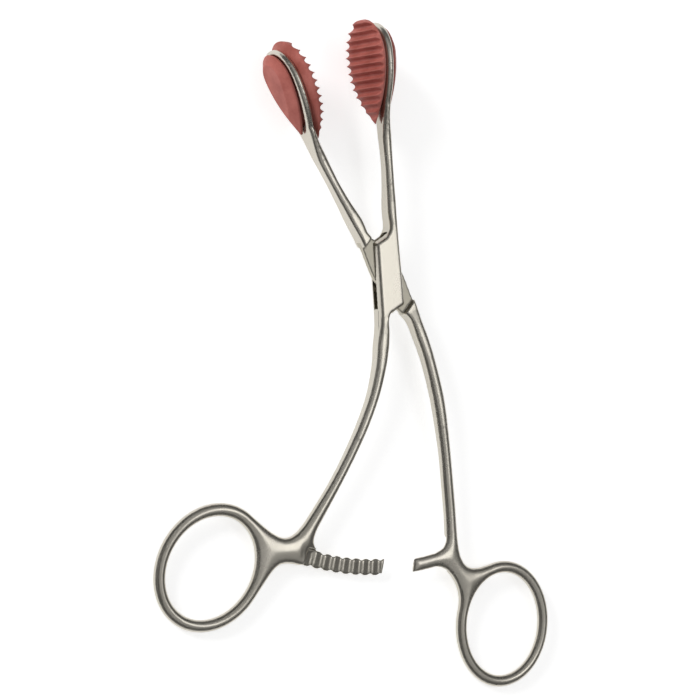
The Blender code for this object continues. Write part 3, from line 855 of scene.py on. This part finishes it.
# %% World
AMBIENT = 0.42
world = bpy.data.worlds.new("studio")
bpy.context.scene.world = world
world.use_nodes = True
sky = Nodes(world.node_tree)
background = sky.tree.nodes["Background"]
white_rays = sum(sky.node("LightPath", output=kind) for kind in PICTURE_RAYS)
white_rays = white_rays.math("MINIMUM", 1.0)
feed(sky.tree, background.inputs["Color"], (1.0, 1.0, 1.0, 1.0))
feed(sky.tree, background.inputs["Strength"], white_rays * (1 - AMBIENT) + AMBIENT)
print("The world is white in the picture and lights the rubber at", AMBIENT)


# %% Lamps
def lamp(name, place, size, power):
    """A round soft lamp that faces the tool."""
    data = bpy.data.lights.new(name, "AREA")
    data.shape = "DISK"
    data.size = size
    data.energy = power
    made = bpy.data.objects.new(name, data)
    bpy.context.scene.collection.objects.link(made)
    made.location = place
    made.rotation_mode = "QUATERNION"
    made.rotation_quaternion = (-Vector(place)).to_track_quat("-Z", "Y")
    print(name, "at", place)
    return made


lamp("overhead_softbox", place=(0.36, -0.105, 0.71), size=0.30, power=0.375)
key_lamp = lamp("key_lamp", place=(-0.75, 0.9, 0.45), size=0.5, power=8.5)
key_lamp.visible_glossy = False


# %% Cards and curtain
def reflected_only(bm, name, shade):
    """Felt of one shade that only reflections see."""
    data = bpy.data.meshes.new(name)
    bm.to_mesh(data)
    bm.free()
    made = bpy.data.objects.new(name, data)
    bpy.context.scene.collection.objects.link(made)
    felt = Finish(name + "_felt").set(Base_Color=(shade, shade, shade, 1.0), Roughness=1.0)
    data.materials.append(felt.material)
    made.visible_camera = False
    made.visible_shadow = False
    made.visible_diffuse = False
    print(name, "has the shade", shade)
    return made


def curtain(name, radius, low, high, shade):
    """A round curtain about the table."""
    bm = bmesh.new()
    start = [bm.verts.new((radius, 0, low)), bm.verts.new((radius, 0, high))]
    edge = bm.edges.new(start)
    bmesh.ops.spin(bm, geom=[*start, edge], cent=(0, 0, 0), axis=(0, 0, 1),
                   angle=2 * math.pi, steps=64, use_merge=True)
    return reflected_only(bm, name, shade)


def card(name, place, size, shade):
    """A square card that faces the tool."""
    bm = bmesh.new()
    bmesh.ops.create_grid(bm, x_segments=1, y_segments=1, size=size / 2)
    turn = (-Vector(place)).to_track_quat("Z", "Y").to_matrix().to_4x4()
    bmesh.ops.transform(bm, matrix=Matrix.Translation(place) @ turn, verts=bm.verts)
    return reflected_only(bm, name, shade)


curtain("dark_curtain", radius=1.6, low=0.05, high=1.5, shade=0.2)
card("dark_card", place=(-0.85, 0.1, 0.72), size=1.2, shade=0.2)
card("grey_ceiling", place=(0, 0, 1.7), size=7.0, shade=0.75)

# %% [markdown]
# ## Camera
# The camera stands above the lock's left side and looks at a point between the shanks. A
# Track To constraint could aim it, but the picture is rolled as well. So its three angles
# come from the tool's own plane: how far it stands to the left of the front, how far towards
# the jaws, and how much the picture is rolled.

# %% Camera
SIDE = math.radians(30.25)
RISE = math.radians(9.8)
ROLL = math.radians(14.7)
DISTANCE = 581.3
AIM = Vector((-15.4, -14.7, 0))
LENS = 123.05
SENSOR = 36.0
NEAR_CLIP = 0.05

backward = Vector((-math.sin(SIDE) * math.cos(RISE), math.sin(RISE),
                   math.cos(SIDE) * math.cos(RISE)))
level = Vector((math.cos(SIDE), 0, math.sin(SIDE)))
upward = backward.cross(level)
right = level * math.cos(ROLL) - upward * math.sin(ROLL)
top = level * math.sin(ROLL) + upward * math.cos(ROLL)
stance = TIP.to_3x3() @ Matrix((right, top, backward)).transposed()
camera_data = bpy.data.cameras.new("camera")
camera_data.lens = LENS
camera_data.sensor_width = SENSOR
camera_data.clip_start = NEAR_CLIP
camera = bpy.data.objects.new("camera", camera_data)
bpy.context.scene.collection.objects.link(camera)
camera.matrix_world = Matrix.Translation(PLAN @ (AIM + backward * DISTANCE)) @ stance.to_4x4()
bpy.context.scene.camera = camera
bpy.context.scene.view_settings.view_transform = "Standard"
print("camera at", tuple(round(c, 3) for c in camera.matrix_world.translation), "m")
